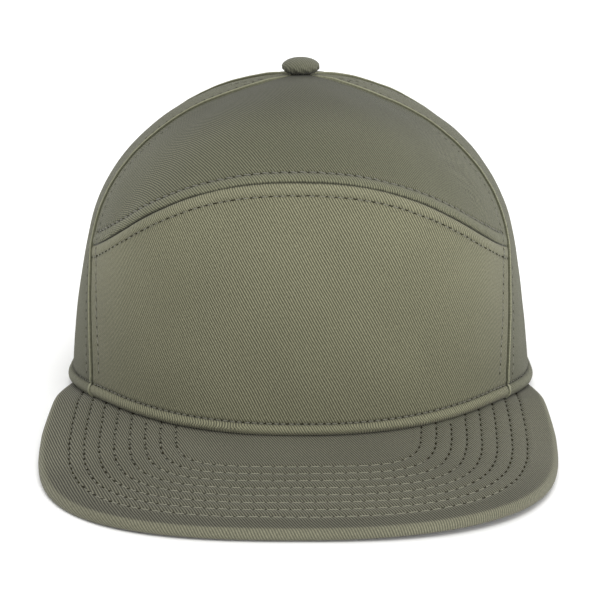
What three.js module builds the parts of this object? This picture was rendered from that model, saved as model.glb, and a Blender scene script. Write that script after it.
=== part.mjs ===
// A six-panel cap with a flat brim, at rest on a table.
// Millimetres, +Z up, brim towards -Y, wearer's left towards +X. It fits a head about 580 mm round.

import * as THREE from 'three';

// Cloth and clearances
const CLOTH = 2.0;                 // wall of a lined panel
const SEAM_GAP = 0.3;              // between neighbouring pieces
const SWEATBAND_THICKNESS = 1.2;
const STRAP_THICKNESS = 1.4;

// Crown. A reach is the distance from the button's axis, a lean is in degrees from the vertical, and a
// pull is how far a curve follows its end's direction. Walls run from the hem's stitches to the
// shoulder, roofs from the shoulder to the button.
const CROWN_TOP = 120.4;
const OUTLINES = {
  front: {
    footReach: 102.0, footHeight: 18.2, wallHeight: 84.2, footLean: 10.6, wallLean: 10.1,
    roofLean: 60.0, roofPull: 32.0, topPull: 40.0, topLean: 94.4,
  },
  side: {
    footReach: 86.3, footHeight: 7.5, wallHeight: 51.6, footLean: 2.8, wallLean: 11.0,
    roofLean: 11.0, roofPull: 38.5, topPull: 35.0, topLean: 83.0,
  },
  back: {
    footReach: 92.0, footHeight: 3.9, wallHeight: 46.0, footLean: 1.0, wallLean: 12.0,
    roofLean: 12.0, roofPull: 37.5, topPull: 39.2, topLean: 85.6,
  },
};
// Squareness of the crown's plan: 2 is an ellipse.
const PLAN_SQUARENESS = { foot: 2.35, shoulder: 2.45, top: 2.0 };
// Around the crown, the seam between a front and a side panel, from the hem to the button.
const FRONT_SEAM = [
  { rise: -1.0, angle: 57.5 },
  { rise: 0.35, angle: 61.5 },
  { rise: 1.0, angle: 71.0 },
  { rise: 1.4, angle: 79.5 },
  { rise: 1.7, angle: 78.0 },
  { rise: 2.0, angle: 68.0 },
];
const BACK_SEAM_ANGLE = 119.0;     // between a side and a back panel
const CENTRE_BACK_ANGLE = 180.0;
const APEX_RISE = 1.972;           // the panels end here, round the button's stem

// Hem: a rolled band under the lowest stitches.
const HEM_BAND_FRONT = 3.9;
const HEM_BAND_SIDE = 4.7;
const HEM_BULGE = 1.7;
const HEM_REST_HEIGHT = 1.24;      // level with the brim's lowest corners, so the cap stands on both
const HEM_CLEARANCE = 0.55;        // over the brim's upper face
// Beside the head, the hem and the brim's tips fall straight to the table.
const SIDE_FALL = 0.19;
const SIDE_FALL_END_Y = 13.4;
const FALL_CORNER = 4.0;           // a wider corner turns more gently
const REST_CORNER = 1.0;

// Brim
const BRIM_LENGTH_Y = 174.4;       // button's axis to the front edge
const BRIM_HALF_WIDTH = 92.4;
const BRIM_WIDEST_Y = -86.0;
const BRIM_SQUARENESS = 2.8;
const BRIM_THICKNESS = 4.2;
const BRIM_SLOPE = 0.11;           // falls towards the front
const BRIM_DROOP = 6.8;            // how much lower its sides are than its middle
const BRIM_SEAT_HEIGHT = 13.8;     // its upper face, under the middle of the hem
const BRIM_TIP = { x: 86.2, y: -22.0 };
const BRIM_TIP_ANGLE = 79.0;       // the tips, seen round the crown
const BRIM_TUCK = 3.0;             // how far it runs in under the hem
const BRIM_FRONT_SHARE = 0.66;     // share of the columns on the rounded front
const BRIM_SIDE_BEND = 1.3;
// The rolled edge: how far each step lies inside the outline and below the upper face.
const BRIM_EDGE = [
  { inset: 1.9, drop: 0.0 },
  { inset: 0.5, drop: 0.9 },
  { inset: 0.0, drop: 2.1 },
  { inset: 0.5, drop: 3.3 },
  { inset: 1.9, drop: 4.2 },
];

// Back opening, sweatband and strap. Heights are above the hem's lower edge.
const OPENING_HALF_ANGLE = 28.0;
const OPENING_HEIGHT = 46.0;
const SWEATBAND = { low: 1.6, high: 32.0, endAngle: 141.0 };
const STRAP = { low: 1.4, high: 18.6, endAngle: 143.0 };

// Button: half of its section, round a rivet stem that goes through the crown.
const BUTTON_PROFILE = [
  { radius: 0.0, height: -3.6 },
  { radius: 1.9, height: -3.6 },
  { radius: 1.9, height: 0.0 },
  { radius: 6.2, height: 0.0 },
  { radius: 7.0, height: 1.1 },
  { radius: 7.1, height: 2.3 },
  { radius: 6.2, height: 3.7 },
  { radius: 4.0, height: 4.7 },
  { radius: 0.0, height: 5.1 },
];
const BUTTON_SIDES = 20;

// Rows of a panel from the hem to the button, as rises: -1 is the hem's lower edge, 0 its stitches,
// 1 the shoulder and 2 the button's axis.
const WALL_RISES = [-1.0, -0.7, -0.3, 0.0, 0.2, 0.4, 0.6, 0.8];
const ROOF_RISES = [1.07, 1.15, 1.24, 1.34, 1.45, 1.57, 1.7, 1.82, 1.92, APEX_RISE];
const SHOULDER_SEAM_RISE = 0.0018;  // half a seam gap, on either side of the shoulder
const SLOPE_STEP = 0.02;

const radians = THREE.MathUtils.degToRad;
const mix = THREE.MathUtils.lerp;

function signedPower(value, exponent) {
  return Math.sign(value) * Math.abs(value) ** exponent;
}

// A point on a curve in a vertical plane, given by two ends, the leans there and their pulls.
function bend(start, startLean, startPull, end, endLean, endPull, share) {
  const a = radians(startLean);
  const b = radians(endLean);
  const first = { reach: start.reach - startPull * Math.sin(a), height: start.height + startPull * Math.cos(a) };
  const second = { reach: end.reach + endPull * Math.sin(b), height: end.height - endPull * Math.cos(b) };
  const rest = 1 - share;
  const weights = [rest ** 3, 3 * rest * rest * share, 3 * rest * share * share, share ** 3];
  const points = [start, first, second, end];
  return {
    reach: points.reduce((sum, point, k) => sum + weights[k] * point.reach, 0),
    height: points.reduce((sum, point, k) => sum + weights[k] * point.height, 0),
  };
}

// Reach and height of one outline at a rise from 0 to 2.
function outlinePoint(outline, rise) {
  const foot = { reach: outline.footReach, height: outline.footHeight };
  const middleLean = radians((outline.footLean + outline.wallLean) / 2);
  const shoulder = {
    reach: foot.reach - outline.wallHeight * Math.tan(middleLean),
    height: foot.height + outline.wallHeight,
  };
  if (rise <= 1) {
    const pull = Math.hypot(foot.reach - shoulder.reach, outline.wallHeight) / 3;
    return bend(foot, outline.footLean, pull, shoulder, outline.wallLean, pull, rise);
  }
  const top = { reach: 0, height: CROWN_TOP };
  return bend(shoulder, outline.roofLean, outline.roofPull, top, outline.topLean, outline.topPull, rise - 1);
}

// The lower of two heights, with a rounded corner where they cross.
function lowerOf(a, b, corner) {
  return (a + b - Math.sqrt((a - b) ** 2 + corner)) / 2;
}

function higherOf(a, b, corner) {
  return -lowerOf(-a, -b, corner);
}

// The brim is flat in its middle, droops at both sides and falls with the hem at its tips.
function brimTopHeight(x, y) {
  const slope = BRIM_SLOPE * (y + OUTLINES.front.footReach);
  const droop = BRIM_DROOP * (x / BRIM_HALF_WIDTH) ** 4;
  const fall = SIDE_FALL * (SIDE_FALL_END_Y - y);
  return lowerOf(BRIM_SEAT_HEIGHT + slope - droop, fall, FALL_CORNER);
}

// The hem's lower edge lies on the brim in front, falls beside the head and rests on the table behind.
function hemEdgeHeight(x, y) {
  const inside = 1 - CLOTH / OUTLINES.side.footReach;
  const brim = Math.max(brimTopHeight(x, y), brimTopHeight(x * inside, y * inside));
  return higherOf(brim + HEM_CLEARANCE, HEM_REST_HEIGHT, REST_CORNER);
}

function hemBandHeight(angle) {
  return mix(HEM_BAND_FRONT, HEM_BAND_SIDE, Math.sin(angle) ** 2);
}

function halfOutline(angle) {
  return Math.cos(angle) > 0 ? OUTLINES.front : OUTLINES.back;
}

function planPoint(angle, reach, sideReach, squareness) {
  const x = sideReach * signedPower(Math.sin(angle), 2 / squareness);
  const y = -reach * signedPower(Math.cos(angle), 2 / squareness);
  return { x, y };
}

// The crown's outer surface. The angle is 0 in front, 90 degrees at the wearer's left.
function crownPoint(angle, rise, bulge = HEM_BULGE) {
  const onWall = Math.max(rise, 0);
  const half = halfOutline(angle);
  const side = outlinePoint(OUTLINES.side, onWall);
  const middle = outlinePoint(half, onWall);
  const share = Math.cos(angle) ** 2;
  const squareness = onWall <= 1
    ? mix(PLAN_SQUARENESS.foot, PLAN_SQUARENESS.shoulder, onWall)
    : mix(PLAN_SQUARENESS.shoulder, PLAN_SQUARENESS.top, onWall - 1);
  const swell = rise < 0 ? bulge * Math.sin(Math.PI * (0.12 - 0.72 * rise)) - bulge * Math.sin(Math.PI * 0.12) : 0;
  const plan = planPoint(angle, middle.reach + swell, side.reach + swell, squareness);
  const foot = planPoint(angle, half.footReach, OUTLINES.side.footReach, PLAN_SQUARENESS.foot);
  const stitches = hemEdgeHeight(foot.x, foot.y) + hemBandHeight(angle);
  const evenFoot = mix(OUTLINES.side.footHeight, half.footHeight, share);
  const fade = Math.max(1 - onWall, 0) ** 1.5;
  let z = mix(side.height, middle.height, share) + (stitches - evenFoot) * fade;
  if (rise < 0) z += rise * hemBandHeight(angle);
  return new THREE.Vector3(plan.x, plan.y, z);
}

// The crown's outward direction, level along the hem. It mitres the bend at the shoulder.
function crownNormal(angle, rise) {
  const at = THREE.MathUtils.clamp(rise, SLOPE_STEP, 2 - 2 * SLOPE_STEP);
  const along = crownPoint(angle + SLOPE_STEP, at).sub(crownPoint(angle - SLOPE_STEP, at));
  const up = crownPoint(angle, at + SLOPE_STEP).sub(crownPoint(angle, at - SLOPE_STEP));
  const normal = along.cross(up);
  if (rise <= 0) normal.z = 0;
  return normal.normalize();
}

function underCrown(angle, rise, depth, bulge) {
  return crownPoint(angle, rise, bulge).addScaledVector(crownNormal(angle, rise), -depth);
}

// The rise at which the wall is a given height above the hem's lower edge.
function riseAtHeight(angle, height) {
  const band = hemBandHeight(angle);
  if (height < band) return height / band - 1;
  const wall = mix(OUTLINES.side.wallHeight, halfOutline(angle).wallHeight, Math.cos(angle) ** 2);
  return (height - band) / wall;
}

const frontSeam = new THREE.CubicInterpolant(
  FRONT_SEAM.map((knot) => knot.rise),
  FRONT_SEAM.map((knot) => knot.angle),
  1,
  [0],
);

function frontSeamAngle(rise) {
  return frontSeam.evaluate(rise)[0];
}

// Half the angle of the round-topped back opening at a rise.
function openingHalfAngle(rise) {
  const angle = radians(CENTRE_BACK_ANGLE);
  const band = hemBandHeight(angle);
  const height = rise < 0 ? (rise + 1) * band : band + rise * OUTLINES.back.wallHeight;
  return OPENING_HALF_ANGLE * Math.sqrt(Math.max(0, 1 - (height / OPENING_HEIGHT) ** 2));
}

// A closed body lofted through rings. A ring runs up a sheet's outer face and down its inner face,
// and rings follow each other with growing angle.
function loftSheet(name, rings, colour) {
  const count = rings[0].length;
  const points = rings.flat();
  const indices = [];
  const quad = (a, b, c, d) => indices.push(a, b, c, a, c, d);
  for (let start = 0; start + count < points.length; start += count) {
    for (let k = 0; k < count; k += 1) {
      const next = (k + 1) % count;
      quad(start + k, start + count + k, start + count + next, start + next);
    }
  }
  const last = points.length - count;
  for (let k = 0; k < count / 2 - 1; k += 1) {
    const across = count - 1 - k;
    quad(k, k + 1, across - 1, across);
    quad(last + k, last + across, last + across - 1, last + k + 1);
  }
  const geometry = new THREE.BufferGeometry().setFromPoints(points);
  geometry.setIndex(indices);
  return namedMesh(name, geometry, colour);
}

function namedMesh(name, geometry, colour) {
  geometry.computeVertexNormals();
  const material = new THREE.MeshStandardMaterial({ color: colour, roughness: 0.9, metalness: 0.0 });
  const mesh = new THREE.Mesh(geometry, material);
  mesh.name = name;
  return mesh;
}

// A crown panel between two edges, each given as an angle in degrees at a rise.
function panel(name, fromAngle, toAngle, rises, columns, colour) {
  const rings = [];
  for (let column = 0; column <= columns; column += 1) {
    const outer = [];
    const inner = [];
    rises.forEach((rise) => {
      const edges = [radians(fromAngle(rise)), radians(toAngle(rise))];
      const gaps = edges.map((edge) => {
        const point = crownPoint(edge, rise);
        return SEAM_GAP / 2 / Math.hypot(point.x, point.y);
      });
      const angle = mix(edges[0] + gaps[0], edges[1] - gaps[1], column / columns);
      outer.push(crownPoint(angle, rise));
      inner.unshift(underCrown(angle, rise, CLOTH));
    });
    rings.push([...outer, ...inner]);
  }
  return loftSheet(name, rings, colour);
}

function frontPanels() {
  const left = (rise) => -frontSeamAngle(rise);
  const lowerRises = [...WALL_RISES, 1 - SHOULDER_SEAM_RISE];
  const upperRises = [1 + SHOULDER_SEAM_RISE, ...ROOF_RISES];
  return [
    panel('lower_front_panel', left, frontSeamAngle, lowerRises, 28, '#7d7c68'),
    panel('upper_front_panel', left, frontSeamAngle, upperRises, 24, '#757668'),
  ];
}

function sidePanels() {
  const rises = [...WALL_RISES, 1.0, ...ROOF_RISES];
  const back = () => BACK_SEAM_ANGLE;
  return [
    panel('left_side_panel', frontSeamAngle, back, rises, 10, '#7f806e'),
    panel('right_side_panel', () => -back(), (rise) => -frontSeamAngle(rise), rises, 10, '#6f6e61'),
  ];
}

// Two panels that leave a round-topped opening between them, above the strap.
function backPanels() {
  const openingRises = [15, 30, 45, 60, 75, 90].map((turn) => (
    riseAtHeight(radians(CENTRE_BACK_ANGLE), OPENING_HEIGHT * Math.sin(radians(turn)))
  ));
  const rises = [-1.0, -0.7, -0.3, 0.0, ...openingRises, 1.0, ...ROOF_RISES];
  const edge = (rise) => CENTRE_BACK_ANGLE - openingHalfAngle(rise);
  const seam = () => BACK_SEAM_ANGLE;
  return [
    panel('left_back_panel', seam, edge, rises, 10, '#757465'),
    panel('right_back_panel', (rise) => -edge(rise), () => -seam(), rises, 10, '#757465'),
  ];
}

// A band that lies inside the crown, between two heights above the hem's edge.
function innerBand(name, size, thickness, fromAngle, toAngle, columns, rows, colour) {
  const depth = CLOTH + SEAM_GAP;
  const rings = [];
  for (let column = 0; column <= columns; column += 1) {
    const angle = radians(mix(fromAngle, toAngle, column / columns));
    const outer = [];
    const inner = [];
    for (let row = 0; row <= rows; row += 1) {
      const rise = riseAtHeight(angle, mix(size.low, size.high, row / rows));
      outer.push(underCrown(angle, rise, depth, 0));
      inner.unshift(underCrown(angle, rise, depth + thickness, 0));
    }
    rings.push([...outer, ...inner]);
  }
  return loftSheet(name, rings, colour);
}

function sweatband() {
  const end = SWEATBAND.endAngle;
  return innerBand('sweatband', SWEATBAND, SWEATBAND_THICKNESS, -end, end, 44, 3, '#6a6a5c');
}

function closureStrap() {
  const from = STRAP.endAngle;
  const to = 2 * CENTRE_BACK_ANGLE - from;
  return innerBand('closure_strap', STRAP, STRAP_THICKNESS, from, to, 18, 3, '#6a6a5c');
}

// The brim's outline: a squared round front, then a side that draws in to the tip.
function brimOutline(share) {
  const side = Math.sign(share);
  const at = Math.abs(share);
  if (at <= BRIM_FRONT_SHARE) {
    const turn = (Math.PI / 2) * (at / BRIM_FRONT_SHARE);
    const forward = BRIM_LENGTH_Y + BRIM_WIDEST_Y;
    const plan = planPoint(turn, forward, BRIM_HALF_WIDTH, BRIM_SQUARENESS);
    return { x: side * plan.x, y: BRIM_WIDEST_Y + plan.y };
  }
  const back = (at - BRIM_FRONT_SHARE) / (1 - BRIM_FRONT_SHARE);
  return {
    x: side * mix(BRIM_HALF_WIDTH, BRIM_TIP.x, back ** BRIM_SIDE_BEND),
    y: mix(BRIM_WIDEST_Y, BRIM_TIP.y, back),
  };
}

// The brim's inner edge, tucked in under the hem.
function brimInnerEdge(share) {
  const reach = OUTLINES.front.footReach - BRIM_TUCK;
  const sideReach = OUTLINES.side.footReach - BRIM_TUCK;
  return planPoint(radians(share * BRIM_TIP_ANGLE), reach, sideReach, PLAN_SQUARENESS.foot);
}

function brim() {
  const columns = 39;
  const steps = [0, 0.3, 0.65];
  const rings = [];
  for (let column = 0; column <= columns; column += 1) {
    const share = mix(-1, 1, column / columns);
    const root = brimInnerEdge(share);
    const edge = brimOutline(share);
    const width = Math.hypot(edge.x - root.x, edge.y - root.y);
    const at = (fraction, drop) => {
      const x = mix(root.x, edge.x, fraction);
      const y = mix(root.y, edge.y, fraction);
      return new THREE.Vector3(x, y, brimTopHeight(x, y) - drop);
    };
    const rolled = BRIM_EDGE.map((step) => ({ fraction: 1 - step.inset / width, drop: step.drop }));
    const outermost = rolled[0].fraction;
    const over = steps.map((step) => at(step * outermost, 0));
    const under = steps.map((step) => at(step * outermost, BRIM_THICKNESS)).reverse();
    const middle = rolled.map((step) => at(step.fraction, step.drop));
    middle.splice(2, 0, middle[2].clone().lerp(middle[1], 0.5));
    rings.push([...under, ...middle.reverse(), ...over.reverse()]);
  }
  return loftSheet('brim', rings, '#6e6d5f');
}

function topButton() {
  const profile = BUTTON_PROFILE.map((step) => new THREE.Vector2(step.radius, step.height));
  const geometry = new THREE.LatheGeometry(profile, BUTTON_SIDES);
  geometry.rotateX(Math.PI / 2);
  const button = namedMesh('top_button', geometry, '#838475');
  button.position.z = CROWN_TOP + SEAM_GAP;
  button.rotation.x = radians(90 - OUTLINES.front.topLean);
  return button;
}

const cap = new THREE.Group();
cap.add(...frontPanels(), ...sidePanels(), ...backPanels());
cap.add(brim(), topButton(), sweatband(), closureStrap());

// The origin is under the middle of the whole cap, on the table.
const box = new THREE.Box3().setFromObject(cap, true);
cap.position.set(-(box.min.x + box.max.x) / 2, -(box.min.y + box.max.y) / 2, -box.min.z);

const group = new THREE.Group();
group.add(cap);
export default group;
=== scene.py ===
"""The looks of a six-panel cap with a flat brim, at rest on a pale floor.

Sizes are in millimetres of the crown's own frame, whose axis runs down through the button. They turn
into metres of the shared frame in to_frame. The brim points along -Y, the wearer's left is +X.
"""

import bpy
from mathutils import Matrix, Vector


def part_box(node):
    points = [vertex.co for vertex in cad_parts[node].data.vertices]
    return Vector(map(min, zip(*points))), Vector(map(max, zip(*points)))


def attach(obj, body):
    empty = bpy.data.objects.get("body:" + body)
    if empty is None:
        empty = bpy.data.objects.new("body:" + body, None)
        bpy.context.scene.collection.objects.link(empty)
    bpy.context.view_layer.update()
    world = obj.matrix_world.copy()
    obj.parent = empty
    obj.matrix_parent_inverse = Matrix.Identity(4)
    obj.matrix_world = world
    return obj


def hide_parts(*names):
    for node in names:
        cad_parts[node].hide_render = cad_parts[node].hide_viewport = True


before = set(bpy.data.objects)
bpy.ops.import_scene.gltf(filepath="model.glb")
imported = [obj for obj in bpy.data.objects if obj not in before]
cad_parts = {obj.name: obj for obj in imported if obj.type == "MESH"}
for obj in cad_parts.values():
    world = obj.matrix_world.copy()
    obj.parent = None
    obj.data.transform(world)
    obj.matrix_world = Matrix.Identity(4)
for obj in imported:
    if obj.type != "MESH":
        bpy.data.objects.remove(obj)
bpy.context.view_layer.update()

import math

import bpy
import numpy as np
from mathutils import Vector
from mathutils.bvhtree import BVHTree

MM = 0.001

# Crown: the same driving sizes as the solids have.
CROWN_TOP = 120.4
OUTLINES = {
    "front": dict(foot_reach=102.0, foot_height=18.2, wall_height=84.2, foot_lean=10.6, wall_lean=10.1,
                  roof_lean=60.0, roof_pull=32.0, top_pull=40.0, top_lean=94.4),
    "side": dict(foot_reach=86.3, foot_height=7.5, wall_height=51.6, foot_lean=2.8, wall_lean=11.0,
                 roof_lean=11.0, roof_pull=38.5, top_pull=35.0, top_lean=83.0),
    "back": dict(foot_reach=92.0, foot_height=3.9, wall_height=46.0, foot_lean=1.0, wall_lean=12.0,
                 roof_lean=12.0, roof_pull=37.5, top_pull=39.2, top_lean=85.6),
}
SQUARENESS = {"foot": 2.35, "shoulder": 2.45, "top": 2.0}
FRONT_SEAM_RISES = (-1.0, 0.35, 1.0, 1.4, 1.7, 2.0)
FRONT_SEAM_ANGLES = (57.5, 61.5, 71.0, 79.5, 78.0, 68.0)
BACK_SEAM_ANGLE = 119.0
CENTRE_BACK_ANGLE = 180.0
APEX_RISE = 1.965
SHOULDER_RISE = 1.0
CLOTH = 1.5
DEEPEST = 1.6           # how far sewing pulls the outer face in
HEM_BAND_FRONT = 3.9
HEM_BAND_SIDE = 4.7
HEM_ROLL = 1.9
HEM_REST_HEIGHT = 1.24
HEM_CLEARANCE = 0.3
SIDE_FALL = 0.19
SIDE_FALL_END_Y = 13.4
FALL_CORNER = 4.0
REST_CORNER = 1.0

# Brim
BRIM_LENGTH_Y = 174.4
BRIM_HALF_WIDTH = 92.4
BRIM_WIDEST_Y = -86.0
BRIM_SQUARENESS = 2.8
BRIM_THICKNESS = 4.2
BRIM_SLOPE = 0.11
BRIM_DROOP = 6.8
BRIM_SEAT_HEIGHT = 13.8
BRIM_TIP_X = 86.2
BRIM_TIP_Y = -22.0
BRIM_TIP_ANGLE = 79.0
BRIM_TUCK = 3.0
BRIM_CURL = 1.9                 # the worn brim stands this much higher at its left front corner
BRIM_CURL_START_Y = -95.0
BRIM_CURL_LENGTH = 45.0
BRIM_CURL_WIDTH = 70.0
BRIM_FRONT_SHARE = 0.66
BRIM_SIDE_BEND = 1.3
BRIM_ROWS = 8
BRIM_ROW_INSET = 10.2
BRIM_ROW_SIDE_INSET = 11.0
BRIM_ROW_STEP = 5.4
BRIM_ROW_SQUARENESS = 3.1
BRIM_ROW_SQUARING = 0.037       # more for each millimetre further in
BRIM_ROW_DRAW = 0.6             # of the outline's drawing in towards its tips
GRAIN_CENTRE_Y = 520.0          # the cloth is pulled round the board, so its grain fans out from here
GRAIN_REACH = 630.0

# Back opening, band and strap, as heights above the hem's lower edge
OPENING_HALF_ANGLE = 28.0
OPENING_HEIGHT = 46.0
LINER_DEPTH = 2.2
SWEATBAND = dict(low=1.6, high=32.0, end_angle=141.0, thickness=1.1)
STRAP = dict(low=1.4, high=18.6, end_angle=143.0, thickness=1.4)

# Sewing
TWIN_ROW = 4.9          # arched seam to each of its stitch rows
SIDE_ROW = 6.3          # other seams to theirs
ARCH_PITCH = 3.33
SEAM_PITCH = 3.3
HEM_PITCH = 2.6
BRIM_PITCH = 4.2
BRIM_SINK = 0.22        # thread that runs fore and aft is drawn deeper into the brim

BUTTON_RADIUS = 7.1
BUTTON_HEIGHT = 5.1
BUTTON_PADDING = 0.9    # its cloth stands this much above it
BUTTON_LIFT = 0.3
BUTTON_WIDEST = 2.3
BUTTON_TILT = math.radians(4.4)

button_low, button_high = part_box("top_button")
AXIS_Y = (button_low[1] + button_high[1]) / 2 / MM - BUTTON_WIDEST * math.sin(BUTTON_TILT)
LIFT = button_high[2] / MM - CROWN_TOP - BUTTON_LIFT - BUTTON_HEIGHT * math.cos(BUTTON_TILT)


def to_frame(points):
    return (np.asarray(points, float) + (0.0, AXIS_Y, LIFT)) * MM


def signed_power(value, exponent):
    return np.sign(value) * np.abs(value) ** exponent


def mix(low, high, share):
    return low + (high - low) * share


# The crown's surface

def bend(start, start_lean, start_pull, end, end_lean, end_pull, share):
    """Reach and height along a curve between two points with given leans and pulls there."""
    a, b = math.radians(start_lean), math.radians(end_lean)
    first = (start[0] - start_pull * math.sin(a), start[1] + start_pull * math.cos(a))
    second = (end[0] + end_pull * math.sin(b), end[1] - end_pull * math.cos(b))
    rest = 1 - share
    weights = (rest ** 3, 3 * rest ** 2 * share, 3 * rest * share ** 2, share ** 3)
    points = (start, first, second, end)
    return [sum(w * p[axis] for w, p in zip(weights, points)) for axis in (0, 1)]


def outline_point(outline, rise):
    foot = (outline["foot_reach"], outline["foot_height"])
    height = outline["wall_height"]
    inward = height * math.tan(math.radians((outline["foot_lean"] + outline["wall_lean"]) / 2))
    shoulder = (foot[0] - inward, foot[1] + height)
    pull = math.hypot(inward, height) / 3
    wall = bend(foot, outline["foot_lean"], pull, shoulder, outline["wall_lean"], pull, np.minimum(rise, 1))
    roof = bend(shoulder, outline["roof_lean"], outline["roof_pull"], (0.0, CROWN_TOP),
                outline["top_lean"], outline["top_pull"], np.maximum(rise - 1, 0))
    return [np.where(rise <= 1, low, high) for low, high in zip(wall, roof)]


def lower_of(a, b, corner):
    """The lower of two heights, with a rounded corner where they cross."""
    return (a + b - np.sqrt((a - b) ** 2 + corner)) / 2


def brim_top_height(x, y):
    """Flat in the middle, drooping at both sides, and falling with the hem at the tips."""
    slope = BRIM_SLOPE * (y + OUTLINES["front"]["foot_reach"])
    droop = BRIM_DROOP * (x / BRIM_HALF_WIDTH) ** 4
    return lower_of(BRIM_SEAT_HEIGHT + slope - droop, SIDE_FALL * (SIDE_FALL_END_Y - y), FALL_CORNER)


def worn_brim_height(x, y):
    """The brim's top after wear, with its front standing up on the wearer's left."""
    ahead = np.clip((BRIM_CURL_START_Y - y) / BRIM_CURL_LENGTH, 0, 1)
    return brim_top_height(x, y) + BRIM_CURL * ahead * np.clip(x / BRIM_CURL_WIDTH, 0, 1) ** 1.6


def hem_edge_height(x, y):
    """The hem lies on the brim in front, falls beside the head and rests on the floor behind."""
    return -lower_of(-brim_top_height(x, y) - HEM_CLEARANCE, -HEM_REST_HEIGHT, REST_CORNER)


def hem_band_height(angle):
    return mix(HEM_BAND_FRONT, HEM_BAND_SIDE, np.sin(angle) ** 2)


def half_value(angle, key):
    return np.where(np.cos(angle) > 0, OUTLINES["front"][key], OUTLINES["back"][key])


def plan_point(angle, reach, side_reach, squareness):
    x = side_reach * signed_power(np.sin(angle), 2 / squareness)
    y = -reach * signed_power(np.cos(angle), 2 / squareness)
    return x, y


def crown_point(angle, rise, roll=HEM_ROLL):
    """The crown's outer surface. Rise is -1 at the hem's edge, 0 at its stitches, 1 at the shoulder and 2
    on top."""
    angle, rise = np.broadcast_arrays(np.asarray(angle, float), np.asarray(rise, float))
    on_wall = np.maximum(rise, 0)
    side, front, back = (outline_point(OUTLINES[key], on_wall) for key in ("side", "front", "back"))
    ahead = np.cos(angle) > 0
    middle = [np.where(ahead, f, b) for f, b in zip(front, back)]
    share = np.cos(angle) ** 2
    squareness = np.where(
        on_wall <= 1,
        mix(SQUARENESS["foot"], SQUARENESS["shoulder"], on_wall),
        mix(SQUARENESS["shoulder"], SQUARENESS["top"], on_wall - 1),
    )
    turn = np.clip(-rise, 0, 1)
    swell = roll * np.sin(np.pi * np.minimum(turn * 0.93, 1)) ** 0.7 * np.where(turn > 0, 1, 0)
    x, y = plan_point(angle, middle[0] + swell, side[0] + swell, squareness)
    foot_reach = half_value(angle, "foot_reach")
    foot_x, foot_y = plan_point(angle, foot_reach, OUTLINES["side"]["foot_reach"], SQUARENESS["foot"])
    stitches = hem_edge_height(foot_x, foot_y) + hem_band_height(angle)
    even_foot = mix(OUTLINES["side"]["foot_height"], half_value(angle, "foot_height"), share)
    fade = np.maximum(1 - on_wall, 0) ** 1.5
    z = mix(side[1], middle[1], share) + (stitches - even_foot) * fade
    z = z - turn * hem_band_height(angle)
    return np.stack([x, y, z], axis=-1)


def front_seam_angle(rise):
    """Degrees round the crown of the seam between a front and a side panel, smooth through its knots."""
    rise = np.asarray(rise, float)
    knots, values = np.array(FRONT_SEAM_RISES), np.array(FRONT_SEAM_ANGLES)
    slopes = np.gradient(values, knots)
    at = np.clip(np.searchsorted(knots, rise) - 1, 0, len(knots) - 2)
    width = knots[at + 1] - knots[at]
    s = (rise - knots[at]) / width
    return ((2 * s ** 3 - 3 * s ** 2 + 1) * values[at] + (s ** 3 - 2 * s ** 2 + s) * width * slopes[at]
            + (3 * s ** 2 - 2 * s ** 3) * values[at + 1] + (s ** 3 - s ** 2) * width * slopes[at + 1])


def rise_at_height(angle, height):
    band = hem_band_height(angle)
    wall = mix(OUTLINES["side"]["wall_height"], half_value(angle, "wall_height"), np.cos(angle) ** 2)
    return np.where(height < band, height / band - 1, (height - band) / wall)


def opening_half_angle(rise):
    height = np.where(rise < 0, (rise + 1) * HEM_BAND_FRONT,
                      HEM_BAND_FRONT + rise * OUTLINES["back"]["wall_height"])
    return OPENING_HALF_ANGLE * np.sqrt(np.maximum(0, 1 - (height / OPENING_HEIGHT) ** 2))


OPENING_TOP_RISE = float(rise_at_height(math.pi, OPENING_HEIGHT))


def seam_line(angle_at, low, high, side=1):
    rises = np.linspace(low, high, 300)
    return crown_point(np.radians(angle_at(rises)) * side, rises)


def opening_line(side):
    turns = np.linspace(0, np.pi / 2, 120)
    rises = rise_at_height(math.pi, OPENING_HEIGHT * np.sin(turns))
    angles = np.radians(CENTRE_BACK_ANGLE - OPENING_HALF_ANGLE * np.cos(turns))
    return crown_point(angles * side, rises)


def back_seam_angle(rise):
    return BACK_SEAM_ANGLE + 0 * rise


ARCH_END = math.radians(float(front_seam_angle(SHOULDER_RISE)))
ARCH_ANGLES = np.linspace(-ARCH_END, ARCH_END, 300)
HEM_END = CENTRE_BACK_ANGLE - OPENING_HALF_ANGLE
SEAM_EASE = ((-1.0, -0.02, 0.0, 1.88, APEX_RISE), (0.45, 0.45, 1.0, 1.0, 0.2))   # of relief at each rise
LINES = {
    "arch": crown_point(ARCH_ANGLES, SHOULDER_RISE),
    "hem": crown_point(np.radians(np.linspace(-HEM_END, HEM_END, 500)), 0.0),
    "centre_back": seam_line(lambda rise: CENTRE_BACK_ANGLE + 0 * rise, OPENING_TOP_RISE, APEX_RISE),
}
SIDES = (("left", 1), ("right", -1))
for side_name, side_sign in SIDES:
    LINES[side_name + "_front"] = seam_line(front_seam_angle, -1, APEX_RISE, side_sign)
    LINES[side_name + "_back"] = seam_line(back_seam_angle, -1, APEX_RISE, side_sign)
    LINES[side_name + "_opening"] = opening_line(side_sign)


def line_length(line):
    return np.linalg.norm(np.diff(line, axis=0), axis=1).sum()


def run_lengths(points, axis=0):
    """Lengths run along a line or columns (axis 0) or along rows (axis 1), from zero at the first point."""
    steps = np.linalg.norm(np.diff(points, axis=axis), axis=-1)
    start = np.zeros_like(np.take(steps, [0], axis=axis))
    return np.concatenate([start, np.cumsum(steps, axis=axis)], axis=axis)


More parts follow.
